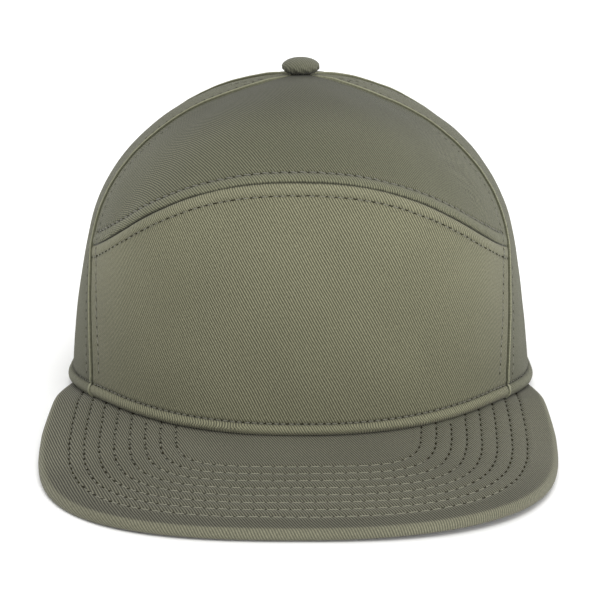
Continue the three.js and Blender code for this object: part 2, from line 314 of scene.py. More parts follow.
def arch_row(distance):
    """The row that follows the arched seam on the wall (negative) or on the roof (positive)."""
    step = 0.02 * math.copysign(1, distance)
    length = np.linalg.norm(crown_point(ARCH_ANGLES, SHOULDER_RISE + step) - LINES["arch"], axis=-1)
    return crown_point(ARCH_ANGLES, SHOULDER_RISE + step * abs(distance) / length)[5:-5]


def beside(line, distance):
    """The line that runs on the crown a given distance to the wearer's left of a seam that runs up."""
    way = np.gradient(line, axis=0)
    away = line * (1, 1, 0.35) - (0, 0, 30)
    side = np.cross(way, away)
    side /= np.linalg.norm(side, axis=1, keepdims=True)
    return line + side * distance


def even_row(line, pitch):
    """A stitch row's line with the even step between its needle holes."""
    length = line_length(line)
    return line, length / max(2, round(length / pitch))


def brim_row_shape(inset):
    """Half width, forward reach and squareness of the line that lies a given distance inside the outline."""
    share = np.minimum(inset / BRIM_ROW_INSET, 1)
    squareness = mix(BRIM_SQUARENESS, BRIM_ROW_SQUARENESS, share)
    squareness = squareness + BRIM_ROW_SQUARING * np.maximum(inset - BRIM_ROW_INSET, 0)
    half_width = BRIM_HALF_WIDTH - inset - (BRIM_ROW_SIDE_INSET - BRIM_ROW_INSET) * share
    return half_width, BRIM_LENGTH_Y + BRIM_WIDEST_Y - inset, squareness


def side_draw(y, inset):
    """How far a line round the brim has drawn in towards the tip at a place behind the widest line."""
    back = np.clip((y - BRIM_WIDEST_Y) / (BRIM_TIP_Y - BRIM_WIDEST_Y), 0, 1)
    amount = mix(1, BRIM_ROW_DRAW, np.minimum(inset / BRIM_ROW_INSET, 1))
    return (BRIM_HALF_WIDTH - BRIM_TIP_X) * amount * back ** BRIM_SIDE_BEND


def brim_row_line(inset):
    """A stitch row: straight back at both sides, rounded into the front, and gone under the hem."""
    half_width, forward, squareness = (float(v) for v in brim_row_shape(np.float64(inset)))
    x, y = plan_point(np.linspace(0, np.pi / 2, 240), forward, half_width, squareness)
    back = np.linspace(BRIM_WIDEST_Y, BRIM_TIP_Y, 60)[1:]
    x = np.concatenate([x, half_width - side_draw(back, inset)])
    y = np.concatenate([BRIM_WIDEST_Y + y, back])
    power = SQUARENESS["foot"]
    under = (x / (OUTLINES["side"]["foot_reach"] + 0.5)) ** power
    under = under + (np.abs(y) / (OUTLINES["front"]["foot_reach"] + 0.5)) ** power
    x, y = x[under > 1], y[under > 1]
    x, y = np.concatenate([-x[::-1], x[1:]]), np.concatenate([y[::-1], y[1:]])
    return np.stack([x, y, worn_brim_height(x, y)], axis=-1)


ROWS = {
    "arch_below": even_row(arch_row(-TWIN_ROW), ARCH_PITCH),
    "arch_above": even_row(arch_row(TWIN_ROW), ARCH_PITCH),
    "hem": even_row(LINES["hem"], HEM_PITCH),
}
SEAM_ROWS = {}           # by the panel and the seam that they lie beside
for seam_name, leftward, rightward, start in (
    ("left_front", "left_side", "front", 8.0),
    ("right_front", "front", "right_side", 8.0),
    ("left_back", "left_back", "left_side", 8.0),
    ("right_back", "right_side", "right_back", 8.0),
    ("centre_back", "right_back", "left_back", 3.0),
):
    seam = LINES[seam_name]
    seam = seam[seam[:, 2] > seam[0, 2] + start][:-10]
    SEAM_ROWS[leftward, seam_name] = even_row(beside(seam, SIDE_ROW), SEAM_PITCH)
    SEAM_ROWS[rightward, seam_name] = even_row(beside(seam, -SIDE_ROW), SEAM_PITCH)
for side_name, side_sign in SIDES:
    opening = LINES[side_name + "_opening"]
    opening = opening[opening[:, 2] > 7.0]
    ROWS[side_name + "_opening"] = even_row(beside(opening, -side_sign * TWIN_ROW), SEAM_PITCH)
BRIM_LINES = [
    even_row(brim_row_line(BRIM_ROW_INSET + BRIM_ROW_STEP * row), BRIM_PITCH) for row in range(BRIM_ROWS)
]


def distance_to(line, points):
    """Distance from each point to a line, and how far along the line the nearest place is."""
    flat = points.reshape(-1, 3)
    starts, steps = line[:-1], np.diff(line, axis=0)
    lengths = np.linalg.norm(steps, axis=1)
    before = run_lengths(line)
    best, along = np.full(len(flat), 1e9), np.zeros(len(flat))
    for first in range(0, len(flat), 4000):
        part = slice(first, first + 4000)
        gaps = ((flat[part, None, :] - line[None, :, :]) ** 2).sum(axis=2)
        nearest = np.argmin(gaps, axis=1)
        for at in (np.clip(nearest - 1, 0, len(steps) - 1), np.clip(nearest, 0, len(steps) - 1)):
            offset = flat[part] - starts[at]
            share = np.clip((offset * steps[at]).sum(axis=1) / np.maximum(lengths[at] ** 2, 1e-12), 0, 1)
            gap = np.linalg.norm(offset - share[:, None] * steps[at], axis=1)
            nearer = gap < best[part]
            best[part] = np.where(nearer, gap, best[part])
            along[part] = np.where(nearer, before[at] + share * lengths[at], along[part])
    return best.reshape(points.shape[:-1]), along.reshape(points.shape[:-1])


# Relief of sewn cloth: height over the surface, paleness from rubbing and painted highlights, and gap for the
# painted shade in the ditch, at a distance from a seam

ARCH_LENGTH = line_length(LINES["arch"])
ARCH_EASE = 30.0         # over which the arched seam gets deep at either end
NO_SEAM = 99.0


def pale_beside_seam(distance, amount, reach, fall):
    """How much paler the cloth is beside a seam, out to its reach: rubbing, and on a fold's crest a painted
    highlight.
    """
    return amount * np.clip((reach - distance) / fall, 0, 1)


def hump(distance, height, at, width):
    return height * np.exp(-((distance - at) / width) ** 2)


def pucker(distance, along, row):
    """Small waves that the thread draws up between a seam and its stitches."""
    waves = np.sin(along / 1.15 + 1.3 * np.sin(along / 9.0)) + 0.6 * np.sin(along / 2.3 + 2.0)
    return 0.05 * waves * np.exp(-((distance - row * 0.7) / (row * 0.6)) ** 2)


def arch_shape(distance, along):
    """Both edges dive into a crisp ditch between two soft padded bands, shallower at both ends."""
    ends = np.clip(np.minimum(along, ARCH_LENGTH - along) / ARCH_EASE, 0.3, 1)
    lift = (hump(distance, -1.5, 0, 0.5) + hump(distance, 0.42, 2.3, 1.4)) * ends
    # gap sets the painted shade in the ditch, thinner towards both ends
    gap = distance * (1.9 - 0.8 * ends)
    return lift + pucker(distance, along, TWIN_ROW), pale_beside_seam(distance, 0.16, 4.5, 1.2), gap


def tucked_shape(distance, along):
    """The edge that dives under its neighbour's fold."""
    lift = hump(distance, -0.6, 0, 0.5) + hump(distance, 0.14, 1.9, 1.0) + pucker(distance, along, SIDE_ROW)
    # the last value sets the painted shade in the ditch
    return lift, pale_beside_seam(distance, 0.08, 3.4, 1.0), distance * 1.5 + 0.1


def folded_shape(distance, along):
    """The fold that stands proud beside the seam, with a painted highlight on its crest."""
    lift = 0.95 * np.exp(-(np.maximum(distance - 0.4, 0) / 0.8) ** 2) + hump(distance, -0.3, 0, 0.2)
    return lift + pucker(distance, along, SIDE_ROW), pale_beside_seam(distance, 1.0, 1.8, 0.6), NO_SEAM


def turned_edge_shape(distance, along):
    """The rolled edge round the opening."""
    lift = hump(distance, -0.8, 0, 0.8) + hump(distance, 0.15, 2.4, 1.4) + pucker(distance, along, TWIN_ROW)
    return lift, pale_beside_seam(distance, 0.15, 4.6, 1.2), NO_SEAM


def stitched_shape(distance, along, step, depth, width):
    """The groove under a stitch row: deepest at its needle holes, with cloth swelling up between them."""
    at_hole = 0.5 + 0.5 * np.cos(2 * np.pi * along / step)
    groove = np.exp(-(distance / width) ** 2)
    swell = 0.3 * depth * (1 - at_hole) * np.exp(-((distance - 1.3) / 0.9) ** 2)
    return swell - depth * groove * (0.45 + 0.55 * at_hole), groove


def unevenness(points):
    """Slow waves of washed cloth, the same on both sides of a seam."""
    waves = (
        (0.10, (0.09, 0.05, 0.11), 0.4), (0.09, (-0.13, 0.08, 0.06), 1.9),
        (0.06, (0.21, -0.12, 0.17), 3.1), (0.05, (0.15, 0.24, -0.19), 5.2),
        (0.03, (-0.36, 0.22, 0.31), 0.9),
    )
    return sum(size * np.sin(points @ np.array(way) + start) for size, way, start in waves)


# Meshes

def deselect():
    bpy.ops.object.select_all(action="DESELECT")


def new_object(name, data):
    made = bpy.data.objects.new(name, data)
    bpy.context.scene.collection.objects.link(made)
    return made


def vertex_places(mesh):
    flat = np.empty(len(mesh.vertices) * 3)
    mesh.vertices.foreach_get("co", flat)
    return flat.reshape(-1, 3)


def lay_cloth(mesh, points, weave, seam_distance=NO_SEAM, rub_and_highlight=0.0, groove=0.0, painted_light_and_shade=1.0):
    """Moves the vertices to points in millimetres. weave becomes the UV map, in millimetres too. Stored at
    each vertex are the distance to a seam, which sets the painted shade in its ditch, rubbing with painted
    highlights (0 to 1), the painted shade of stitch grooves (0 to 1), and a factor of painted light and
    shade."""
    mesh.vertices.foreach_set("co", to_frame(points).ravel())
    corners = np.empty(len(mesh.loops), dtype=int)
    mesh.loops.foreach_get("vertex_index", corners)
    layer = mesh.uv_layers[0]
    layer.name = "weave"
    layer.data.foreach_set("uv", weave[corners].ravel())
    for key, values in (("seam_distance", seam_distance), ("rub_and_highlight", rub_and_highlight), ("groove", groove), ("painted_light_and_shade", painted_light_and_shade)):
        layer = mesh.attributes.new(key, "FLOAT", "POINT")
        layer.data.foreach_set("value", np.zeros(len(mesh.vertices)) + values)
    mesh.update()


def grid_sheet(name, points, weave, wear_and_painted_light=None):
    """A grid from the operator, laid on rows and columns of points. The last argument carries what sewing
    does to the cloth, with painted light and shade.
    """
    rows, columns = points.shape[:2]
    deselect()
    bpy.ops.mesh.primitive_grid_add(x_subdivisions=columns - 1, y_subdivisions=rows - 1, size=1.0)
    sheet = bpy.context.object
    sheet.name = sheet.data.name = name
    flat = vertex_places(sheet.data)
    column = np.rint((flat[:, 0] + 0.5) * (columns - 1)).astype(int)
    row = np.rint((flat[:, 1] + 0.5) * (rows - 1)).astype(int)
    wear_and_painted_light = {key: values[row, column] for key, values in (wear_and_painted_light or {}).items()}
    lay_cloth(sheet.data, points[row, column], weave[row, column], **wear_and_painted_light)
    return sheet


def select_only(piece):
    deselect()
    piece.select_set(True)
    bpy.context.view_layer.objects.active = piece


def smooth(piece, degrees=50):
    select_only(piece)
    bpy.ops.object.shade_smooth_by_angle(angle=math.radians(degrees))


def thicken(sheet, thickness):
    """Gives a sheet its thickness, inwards, with a closed rim."""
    select_only(sheet)
    modifier = sheet.modifiers.new("Thickness", "SOLIDIFY")
    modifier.thickness = thickness * MM
    modifier.offset = -1.0
    modifier.use_rim = True
    bpy.ops.object.modifier_apply(modifier=modifier.name)
    smooth(sheet)


def outward(points):
    """Unit normals of a grid whose columns run to the wearer's left and whose rows run up."""
    normal = np.cross(np.gradient(points, axis=1), np.gradient(points, axis=0))
    return normal / np.maximum(np.linalg.norm(normal, axis=-1, keepdims=True), 1e-9)


def stations(length, fine=0.4, zone=6.5, coarse=1.7, ends=(True, True)):
    """Shares of a length, close together near sewn ends and wider apart between them."""
    places = [0.0]
    while places[-1] < length:
        at = places[-1]
        near = (ends[0] and at < zone) or (ends[1] and at > length - zone)
        places.append(at + (fine if near else coarse))
    return np.array(places) / places[-1]


# Crown panels

FRONT_ROOF_PAINTED_SHADE = (0.97, 0.68, 0.56)  # painted shade towards the top of the front
OTHER_ROOF_PAINTED_LIGHT = (1.0, 1.05, 1.1)    # painted light towards the top of the other panels
HEM_RUB = 0.13                   # how much the turned-up band is rubbed
HEM_EVEN = 12.0                  # over which the cloth gets uneven above the hem


def painted_light_and_shade_by_rise(rises, roof):
    """Painted light and shade at each rise, as a brightness factor: painted shade just above the hem, painted
    light along the shoulder, and the roof's values higher up.
    """
    places = (-1.0, -0.05, 0.0, 0.18, 0.5, 0.86, 1.0, 1.12, 1.35, 1.6, 2.0)
    return np.interp(rises, places, (1.0, 1.0, 0.86, 0.9, 1.0, 1.12, 1.1, 1.02) + roof)


def cut_grain(points, angles, rises):
    """Where each point of a panel lies in the flat cloth it was cut from, its warp running up the middle."""
    middle = (angles[0, 0] + angles[0, -1]) / 2
    _, up = distance_to(crown_point(middle + 0 * rises, rises)[:, 0], points)
    length = np.linalg.norm(np.diff(points, axis=1), axis=-1)
    across = np.sqrt(np.maximum(length ** 2 - np.diff(up, axis=1) ** 2, 0))
    across = np.concatenate([np.zeros_like(up[:, :1]), np.cumsum(across, axis=1)], axis=1)
    start = np.array([np.interp(middle, *row) for row in zip(angles, across)])
    return np.stack([across - start[:, None], up], axis=-1)


def crown_panel(name, from_angle, to_angle, rises, shares, seams, rows, roof=OTHER_ROOF_PAINTED_LIGHT):
    """A panel of cloth between two edges, shaped by the seams and the stitch rows near it."""
    rises = np.asarray(rises)[:, None]
    low, high = np.radians(from_angle(rises)), np.radians(to_angle(rises))
    angles = low + (high - low) * shares[None, :]
    points = crown_point(angles, rises)
    lift = unevenness(points)
    # What sewing does to the cloth, with painted shade in seam ditches and stitch grooves, painted highlights
    # on fold crests and painted light and shade by rise.
    wear_and_painted_light = {
        "seam_distance": NO_SEAM + 0 * lift,
        "rub_and_highlight": HEM_RUB * np.clip(-4 * rises, 0, 1) + 0 * lift,
        "groove": 0 * lift,
        "painted_light_and_shade": painted_light_and_shade_by_rise(rises, roof) + 0 * lift,
    }
    if rises[0] < 0:
        lift = lift * np.clip(distance_to(LINES["hem"], points)[0] / HEM_EVEN, 0, 1)
    for seam, shape in seams:
        distance, along = distance_to(LINES[seam], points)
        raised, pale_amount, gap = shape(distance, along)
        lift = lift + raised * np.interp(rises, *SEAM_EASE)
        wear_and_painted_light["seam_distance"] = np.minimum(wear_and_painted_light["seam_distance"], gap)
        wear_and_painted_light["rub_and_highlight"] = np.maximum(wear_and_painted_light["rub_and_highlight"], pale_amount)
    for (line, step), depth, dark, width in rows:
        distance, along = distance_to(line, points)
        raised, groove = stitched_shape(distance, along, step, depth, width)
        lift = lift + raised
        # dark is the painted shade in a row's groove
        wear_and_painted_light["groove"] = np.maximum(wear_and_painted_light["groove"], dark * groove)
    lift = np.maximum(lift, -DEEPEST)
    surface = points + outward(points) * lift[..., None]
    sheet = grid_sheet(name, surface, cut_grain(points, angles, rises), wear_and_painted_light)
    thicken(sheet, CLOTH)
    return sheet


HEM_RISES = list(np.linspace(-1, 0, 15)[:-1])
WALL_RISES = HEM_RISES + list(stations(84.0))
SIDE_WALL_RISES = HEM_RISES + list(stations(46.0, coarse=1.0, ends=(True, False)))
ROOF_RISES = list(1 + (APEX_RISE - 1) * stations(100.0))
SIDE_ROOF_RISES = list(1 + (APEX_RISE - 1) * stations(95.0, coarse=1.0, ends=(False, True)))[1:]
HEM_ROW = (ROWS["hem"], 0.5, 0.45, 0.5)      # with its groove's depth, painted shade and width
SEAM_GROOVE = (0.28, 0.35, 0.45)


def seam_rows(panel):
    return [(row, *SEAM_GROOVE) for (place, _), row in SEAM_ROWS.items() if place == panel]


def mirrored(angle_at):
    return lambda rise: -angle_at(rise)


def edges_on(side, ahead, behind):
    """A panel runs towards the wearer's left: from its edge ahead on that side, to it on the other."""
    return (ahead, behind) if side == "left" else (mirrored(behind), mirrored(ahead))


def front_panels():
    edges = mirrored(front_seam_angle), front_seam_angle
    seams = [("arch", arch_shape), ("left_front", tucked_shape), ("right_front", tucked_shape)]
    lower = crown_panel("lower_front_cloth", *edges, WALL_RISES, stations(200.0, coarse=0.7), seams,
                        [HEM_ROW, (ROWS["arch_below"], 0.34, 0.3, 0.45)] + seam_rows("front"))
    upper = crown_panel("upper_front_cloth", *edges, ROOF_RISES, stations(190.0, coarse=0.7), seams,
                        [(ROWS["arch_above"], 0.4, 0.5, 0.5)] + seam_rows("front"), FRONT_ROOF_PAINTED_SHADE)
    return lower, upper


def side_panel(side):
    seams = [(side + "_front", folded_shape), (side + "_back", tucked_shape)]
    edges = edges_on(side, front_seam_angle, back_seam_angle)
    return crown_panel(side + "_side_cloth", *edges, SIDE_WALL_RISES + SIDE_ROOF_RISES, stations(95.0),
                       seams, [HEM_ROW] + seam_rows(side + "_side"))


def opening_edge_angle(rise):
    return CENTRE_BACK_ANGLE - opening_half_angle(rise)


def back_panel(side):
    seams = [
        (side + "_back", folded_shape),
        ("centre_back", tucked_shape),
        (side + "_opening", turned_edge_shape),
    ]
    turns = np.concatenate([np.linspace(0, 0.9, 34), np.linspace(0.9, np.pi / 2, 30)[1:]])
    next_to = rise_at_height(math.pi, OPENING_HEIGHT * np.sin(turns))
    above = OPENING_TOP_RISE + (APEX_RISE - OPENING_TOP_RISE) * stations(98.0, coarse=1.2)[1:]
    rises = HEM_RISES + [0.0] + list(next_to[next_to > 0]) + list(above)
    edges = edges_on(side, back_seam_angle, opening_edge_angle)
    rows = [HEM_ROW] + seam_rows(side + "_back") + [(ROWS[side + "_opening"], *SEAM_GROOVE)]
    return crown_panel(side + "_back_cloth", *edges, rises, stations(85.0), seams, rows)


# Brim

BRIM_COLUMNS = 521
BRIM_TOP_ROWS = 120
BRIM_UNDER_ROWS = 24


def brim_outline(share):
    at = np.abs(share)
    turn = np.minimum(at / BRIM_FRONT_SHARE, 1) * np.pi / 2
    x, y = plan_point(turn, BRIM_LENGTH_Y + BRIM_WIDEST_Y, BRIM_HALF_WIDTH, BRIM_SQUARENESS)
    back = np.clip((at - BRIM_FRONT_SHARE) / (1 - BRIM_FRONT_SHARE), 0, 1)
    x = x + (BRIM_TIP_X - BRIM_HALF_WIDTH) * back ** BRIM_SIDE_BEND
    y = BRIM_WIDEST_Y + y + (BRIM_TIP_Y - BRIM_WIDEST_Y) * back
    return np.sign(share) * x, y


def brim_root(share):
    reach = OUTLINES["front"]["foot_reach"] - BRIM_TUCK
    side_reach = OUTLINES["side"]["foot_reach"] - BRIM_TUCK
    return plan_point(np.radians(share * BRIM_TIP_ANGLE), reach, side_reach, SQUARENESS["foot"])


def brim_inset(x, y):
    """The inset of the row line through a point of the brim, found by halving."""
    low, high = np.zeros_like(x), np.full_like(x, 80.0)
    ahead = np.maximum(BRIM_WIDEST_Y - y, 0)
    for _ in range(26):
        middle = (low + high) / 2
        half_width, forward, squareness = brim_row_shape(middle)
        across = (np.abs(x) + side_draw(y, middle)) / np.maximum(half_width, 1)
        inside = across ** squareness + (ahead / np.maximum(forward, 1)) ** squareness < 1
        low, high = np.where(inside, middle, low), np.where(inside, high, middle)
    return (low + high) / 2


def grain(place):
    """Where a place on the brim lies in the cloth, whose weft bends with the front edge."""
    x, behind = place[..., 0], GRAIN_CENTRE_Y - place[..., 1]
    return np.stack([np.arctan2(x, behind) * GRAIN_REACH, GRAIN_CENTRE_Y - np.hypot(x, behind)], axis=-1)


def brim_layers():
    """The cloth's rows, from the root underneath round the rolled edge to the root on top: x, y, the drop
    below the top, and where each place lies in the flat cloth."""
    share = np.linspace(-1, 1, BRIM_COLUMNS)
    root = np.stack(brim_root(share), axis=-1)
    rim = np.stack(brim_outline(share), axis=-1)
    way = np.gradient(rim, axis=0)
    out = np.stack([way[:, 1], -way[:, 0]], axis=-1)
    out /= np.linalg.norm(out, axis=1, keepdims=True)
    roll = BRIM_THICKNESS / 2
    inner_rim = rim - out * (roll * 0.9)
    rows = []
    for fraction in np.linspace(0, 1, BRIM_TOP_ROWS):
        place = mix(root, inner_rim, fraction)
        rows.append((place, 0.0, place))
    for turn in np.linspace(0, np.pi, 19)[1:-1]:
        place = inner_rim + out * (roll * 0.9 * np.sin(turn))
        rows.append((place, -roll * (1 - np.cos(turn)), inner_rim + out * roll * turn))
    for fraction in np.linspace(1, 0, BRIM_UNDER_ROWS):
        place = mix(root, inner_rim, fraction)
        rows.append((place, -BRIM_THICKNESS, inner_rim + out * roll * np.pi + (inner_rim - place)))
    places, drops, laid = zip(*rows[::-1])
    x, y = np.moveaxis(np.array(places), -1, 0)
    return x, y, np.array(drops)[:, None] + 0 * x, grain(np.array(laid))


def brim_relief(x, y, inset, on_top):
    """The height of the quilted cloth over the board, and the painted shade of its stitch grooves, from 0 to
    1.
    """
    lift, groove = np.zeros_like(x), np.zeros_like(x)
    top = slice(-BRIM_TOP_ROWS, None)
    points = np.stack([x, y, worn_brim_height(x, y)], axis=-1)[top]
    sideways = (np.clip(np.abs(x) / (BRIM_HALF_WIDTH - inset), 0, 1) ** 6)[top]
    for line, step in BRIM_LINES:
        raised, dark = stitched_shape(*distance_to(line, points), step, 0.3, 0.5)
        lift[top] += raised * mix(0.4, 1, sideways)
        # painted shade in the grooves, stronger at the sides
        groove[top] = np.maximum(groove[top], mix(0.1, 0.25, sideways) * dark)
    quilting = 0.09 * np.cos(2 * np.pi * (inset - BRIM_ROW_INSET - BRIM_ROW_STEP / 2) / BRIM_ROW_STEP)
    stitched = (inset > BRIM_ROW_INSET - 2) & (inset < BRIM_ROW_INSET + BRIM_ROW_STEP * (BRIM_ROWS - 0.5))
    slow = unevenness(np.stack([x, y, 0 * x], axis=-1)) * 0.5 * np.clip((inset - 1) / 8, 0, 1)
    return lift + np.where(on_top, quilting * stitched + slow, 0), groove


def brim_piece():
    """The stiff board with its cloth: over the top, round the rolled edge and back underneath."""
    x, y, drop, weave = brim_layers()
    inset = brim_inset(x, y)
    lift, groove = brim_relief(x, y, inset, drop > -0.25 * BRIM_THICKNESS)
    points = np.stack([x, y, worn_brim_height(x, y) + drop + lift], axis=-1)
    # Painted light and shade on the brim: a painted highlight on the rolled edge, which is also rubbed pale,
    # and painted shade over the front border and the front of the brim.
    edge = np.exp(-(np.maximum(inset - 1.2, 0) / 0.8) ** 2)
    border = np.clip((BRIM_ROW_INSET - inset) / 3.0, 0, 1) * (1 - edge)
    painted_light_and_shade = 1 + 0.12 * edge - 0.2 * border * np.clip((-y - 110.0) / 40.0, 0, 1)
    painted_light_and_shade = painted_light_and_shade - 0.09 * (1 - edge) * np.clip((-y - 112.0) / 12.0, 0, 1)
    brim = grid_sheet("brim_cloth", points, weave, {"rub_and_highlight": 0.55 * edge, "groove": groove, "painted_light_and_shade": painted_light_and_shade})
    close_holes(brim)
    smooth(brim, 60)
    return brim


def close_holes(piece):
    select_only(piece)
    bpy.ops.object.mode_set(mode="EDIT")
    bpy.ops.mesh.select_all(action="SELECT")
    bpy.ops.mesh.fill_holes(sides=0)
    bpy.ops.mesh.select_all(action="SELECT")
    bpy.ops.mesh.normals_make_consistent(inside=False)
    bpy.ops.object.mode_set(mode="OBJECT")


# Band, strap and button

def inner_band(name, size, from_angle, to_angle, row_inset):
    """A plain band behind the crown's wall, with a stitch row's groove along both edges."""
    columns, rows = int(abs(to_angle - from_angle) * 1.1), 27
    angles = np.radians(np.linspace(from_angle, to_angle, columns))
    heights = np.linspace(size["low"], size["high"], rows)[:, None]
    rises = rise_at_height(angles[None, :], heights)
    surface = crown_point(angles[None, :], rises, roll=0.0)
    lift = 0 * rises - LINER_DEPTH
    for distance in (heights - size["low"], size["high"] - heights):
        lift = lift + hump(distance, -0.18, row_inset, 0.55) + hump(distance, -0.5, 0, 0.5)
    points = surface + outward(surface) * lift[..., None]
    weave = np.stack([run_lengths(points, 1), run_lengths(points)], axis=-1)
    band = grid_sheet(name, points, weave)
    thicken(band, size["thickness"])
    return band


def button_piece():
    """A round button under gathered cloth, resting on the crown's top."""
    deselect()
    bpy.ops.mesh.primitive_uv_sphere_add(segments=96, ring_count=48, radius=1.0)
    button = bpy.context.object
    button.name = button.data.name = "button_cloth"
    ball = vertex_places(button.data)
    around = np.arctan2(ball[:, 1], ball[:, 0])
    level = np.arcsin(np.clip(ball[:, 2], -1, 1))
    above = level > 0
    reach = BUTTON_RADIUS * np.cos(level) ** np.where(above, 0.9, 0.55)
    widest = BUTTON_WIDEST + BUTTON_PADDING / 2
    height = np.where(above, (BUTTON_HEIGHT + BUTTON_PADDING - widest) * np.abs(np.sin(level)) ** 1.12,
                      widest * -np.abs(np.sin(level)) ** 0.9) + widest
    gather = np.clip(0.8 - (height / BUTTON_HEIGHT), 0, 1) ** 1.3
    folds = np.sin(around * 11 + 2.6 * height) + 0.6 * np.sin(around * 19 - 1.7 * height + 1.0)
    reach = reach * (1 - 0.08 * gather * (1 + folds))
    x, y = reach * np.cos(around), reach * np.sin(around)
    weave = np.column_stack([x, y]) * (1 + 0.35 * (1 - height / BUTTON_HEIGHT))[:, None]
    lean, rise = math.sin(BUTTON_TILT), math.cos(BUTTON_TILT)
    tilted = np.column_stack([x, y * rise + height * lean, height * rise - y * lean])
    points = tilted + (0, 0, CROWN_TOP)
    # groove here is a painted contact shadow round the button's base
    lay_cloth(button.data, points, weave, groove=0.85 * np.clip(1.0 - height / 2.2, 0, 1))
    smooth(button, 80)
    return button


# Stitches

class Sewing:
    """Collects stitches on finished cloth and makes them one mesh of threads and dark discs of painted shadow
    in the needle holes.
    """

    def __init__(self, name, cloths):
        graph = bpy.context.evaluated_depsgraph_get()
        self.name = name
        self.trees = [BVHTree.FromObject(cloth, graph) for cloth in cloths]
        self.threads = []
        self.holes = []

    def on_cloth(self, point):
        hits = [tree.find_nearest(Vector(point), 4.0 * MM) for tree in self.trees]
        hits = [hit for hit in hits if hit[0] is not None]
        place, normal = min(hits, key=lambda hit: hit[3])[:2]
        return np.array(place), np.array(normal)

    def row(self, row, thread, up, hole, slant=0.0, on_brim=False):
        """Lays a row: thread is its half width, up its height, hole half a shadow's length and width.
        On the brim, thread that runs fore and aft is drawn deeper and leaves longer shadows."""
        line, step = row
        lengths = run_lengths(line)
        halves = np.arange(0, lengths[-1] + step / 4, step / 2)
        middles = np.stack([np.interp(halves, lengths, line[:, axis]) for axis in range(3)], axis=-1)
        ways = np.gradient(middles, axis=0)
        for index, (middle, way) in enumerate(zip(to_frame(middles), ways)):
            place, normal = self.on_cloth(middle)
            way = way - normal * (way @ normal)
            way /= np.linalg.norm(way)
            side = np.cross(normal, way)
            fore = abs(way[1]) if on_brim else 0.0
            if index % 2:
                along = way * math.cos(slant) + side * math.sin(slant)
                turn = np.stack([along, np.cross(normal, along), normal])
                size = np.array((step * 0.43, thread, thread * 0.8)) * MM
                self.threads.append((turn, place + normal * (up - BRIM_SINK * fore ** 4) * MM, size))
            else:
                turn = np.stack([way, side, normal])
                longer, wider = (0.5 + 0.95 * fore, 0.5 + 0.55 * fore) if on_brim else (1.0, 1.0)
                size = np.array((hole[0] * longer, hole[1] * wider, 0.12)) * MM
                self.holes.append((turn, place + normal * 0.1 * MM, size))

    def finish(self):
        points, faces, kinds = [], [], []
        for kind, form, places in ((0, stitch_form(), self.threads), (1, hole_shadow_form(), self.holes)):
            form_points, form_faces = form
            for turn, place, size in places:
                start = len(points)
                points.extend((form_points * size) @ turn + place)
                faces.extend([[start + corner for corner in face] for face in form_faces])
                kinds.extend([kind] * len(form_faces))
        mesh = bpy.data.meshes.new(self.name)
        mesh.from_pydata(points, [], faces)
        mesh.polygons.foreach_set("use_smooth", [True] * len(faces))
        return new_object(self.name, mesh), kinds


def form_from_operator(operator, **settings):
    """The points and faces of a small primitive, taken from the operator that makes it."""
    deselect()
    operator(**settings)
    made = bpy.context.object
    points = np.array([tuple(v.co) for v in made.data.vertices])
    faces = [list(p.vertices) for p in made.data.polygons]
    bpy.data.objects.remove(made)
    return points, faces


def stitch_form():
    """A thread's visible length, lying along X and diving into the cloth at both ends."""
    sphere = bpy.ops.mesh.primitive_uv_sphere_add
    points, faces = form_from_operator(sphere, segments=8, ring_count=6, radius=1.0)
    x, y, z = points[:, 2], points[:, 0], points[:, 1]
    full = np.sqrt(np.maximum(0, 1 - np.abs(x) ** 3)) / np.maximum(np.sqrt(1 - np.clip(x * x, 0, 0.98)), 0.14)
    dive = -0.55 * np.abs(x) ** 3
    return np.column_stack([x, y * full, z * full + dive]), faces


def hole_shadow_form():
    """A shallow dish of painted shadow, with a little rim, so that a hole also shades itself."""
    circle = bpy.ops.mesh.primitive_circle_add
    points, faces = form_from_operator(circle, vertices=8, radius=1.0, fill_type="TRIFAN")
    inward = 1 - np.linalg.norm(points[:, :2], axis=1)
    return points - np.column_stack([0 * inward, 0 * inward, inward * 0.3]), faces


# Materials

def linear(code):
    """An sRGB hex colour as the linear one that a shader reads."""
    values = [int(code[k:k + 2], 16) / 255 for k in (1, 3, 5)]
    return [v / 12.92 if v <= 0.04045 else ((v + 0.055) / 1.055) ** 2.4 for v in values] + [1.0]


def add(tree, kind, links=None, values=None, **settings):
    """Adds a shader node. links are nodes or sockets to read, values are constants, both by input."""
    node = tree.nodes.new("ShaderNode" + kind)
    for key, value in settings.items():
        setattr(node, key, value)
    for key, value in (values or {}).items():
        node.inputs[key].default_value = value
    for key, source in (links or {}).items():
        socket = source.outputs[0] if isinstance(source, bpy.types.Node) else source
        tree.links.new(socket, node.inputs[key])
    return node


def new_material(name):
    material = bpy.data.materials.new(name)
    material.use_nodes = True
    material.node_tree.nodes.clear()
    return material, material.node_tree


WALE_PITCH = 0.864       # between the twill's diagonal ribs
WALE_ANGLE = 61.0        # of a rib, from the weft
FLOAT_PITCH = 0.62       # between the yarns that cross a rib

# Noise scales, in waves per millimetre
DRIFT_SCALE = 0.08       # ribs wander over 12 mm
SLUB_SCALE = 1.35        # thick places in a yarn
FLECK_SCALE = 1.1        # paler and darker fibres
CLOUD_SCALE = 0.028      # dye that is uneven over 36 mm


def sine_of(tree, socket, pitch):
    """A wave from 0 to 1 with a real pitch in millimetres."""
    scaled = add(tree, "Math", {0: socket}, {1: 2 * math.pi / pitch}, operation="MULTIPLY")
    wave = add(tree, "Math", {0: scaled}, operation="SINE")
    return add(tree, "Math", {0: wave}, {1: 0.5, 2: 0.5}, operation="MULTIPLY_ADD")


